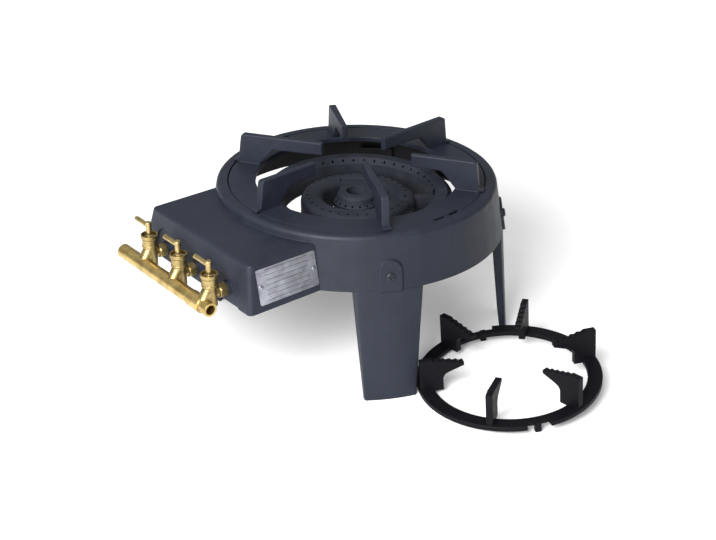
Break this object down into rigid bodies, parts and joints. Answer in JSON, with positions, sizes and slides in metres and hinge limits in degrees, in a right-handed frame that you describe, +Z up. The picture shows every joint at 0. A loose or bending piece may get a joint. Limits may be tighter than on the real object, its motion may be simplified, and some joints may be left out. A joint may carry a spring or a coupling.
{
  "type": "stock pot range",
  "caption": "Low free-standing cast-iron stock pot range with concentric ring burners, brass taps on a nose box, splayed legs, a finned pot ring and a smaller spare pot ring beside it",
  "frame": {"origin": "on the burner's axis, on the floor plane that the four feet stand on", "axes": "+Z up along the burner's axis; the taps and the nose box face -Y; +X is to the right as seen from the taps"},
  "size_m": [0.6178, 0.5401, 0.281],
  "materials": {
    "casing_iron": "satin grey-blue paint over cast iron",
    "burner_iron": "matt dark cast iron",
    "black_iron": "matt black cast iron",
    "brass": "bright machined and cast brass",
    "steel": "zinc-plated steel",
    "plate_metal": "plain rolled metal"
  },
  "bodies": {
    "range": {"body_casting": "casing_iron", "burner_inner_ring": "burner_iron", "burner_middle_ring": "burner_iron", "burner_outer_ring": "burner_iron", "burner_screws": "steel", "data_plate": "plate_metal", "injectors": "brass", "inlet_fitting": "brass", "leg_back_left": "casing_iron", "leg_back_right": "casing_iron", "leg_front_left": "casing_iron", "leg_front_right": "casing_iron", "leg_nuts": "steel", "leg_screws": "steel", "manifold_pipe": "brass", "mixing_tube_left": "burner_iron", "mixing_tube_middle": "burner_iron", "mixing_tube_right": "burner_iron", "outlet_nuts": "brass", "plate_rivets": "plate_metal", "stop_screws": "brass", "tap_body_left": "brass", "tap_body_middle": "brass", "tap_body_right": "brass", "tap_glands": "brass"},
    "pot_ring_body": {"pot_ring": "burner_iron"},
    "small_ring_body": {"small_pot_ring": "black_iron"},
    "tap_left": {"tap_plug_left": "brass", "tap_lever_left": "brass"},
    "tap_middle": {"tap_plug_middle": "brass", "tap_lever_middle": "brass"},
    "tap_right": {"tap_plug_right": "brass", "tap_lever_right": "brass"}
  },
  "joints": [
    {"name": "tap_left_turn", "type": "hinge", "parent": "range", "child": "tap_left", "pos_m": [-0.073, -0.303, 0.19], "axis": [0, 0, 1], "range_deg": [0, 90]},
    {"name": "tap_middle_turn", "type": "hinge", "parent": "range", "child": "tap_middle", "pos_m": [0, -0.303, 0.19], "axis": [0, 0, 1], "range_deg": [0, 90]},
    {"name": "tap_right_turn", "type": "hinge", "parent": "range", "child": "tap_right", "pos_m": [0.073, -0.303, 0.19], "axis": [0, 0, 1], "range_deg": [0, 90]},
    {"name": "pot_ring_lift", "type": "slide", "parent": "range", "child": "pot_ring_body", "axis": [0, 0, 1], "range_m": [0, 0.12]},
    {"name": "small_ring_slide", "type": "slide", "parent": "range", "child": "small_ring_body", "axis": [0.9837, 0.1798, 0], "range_m": [0, 0.25]}
  ]
}
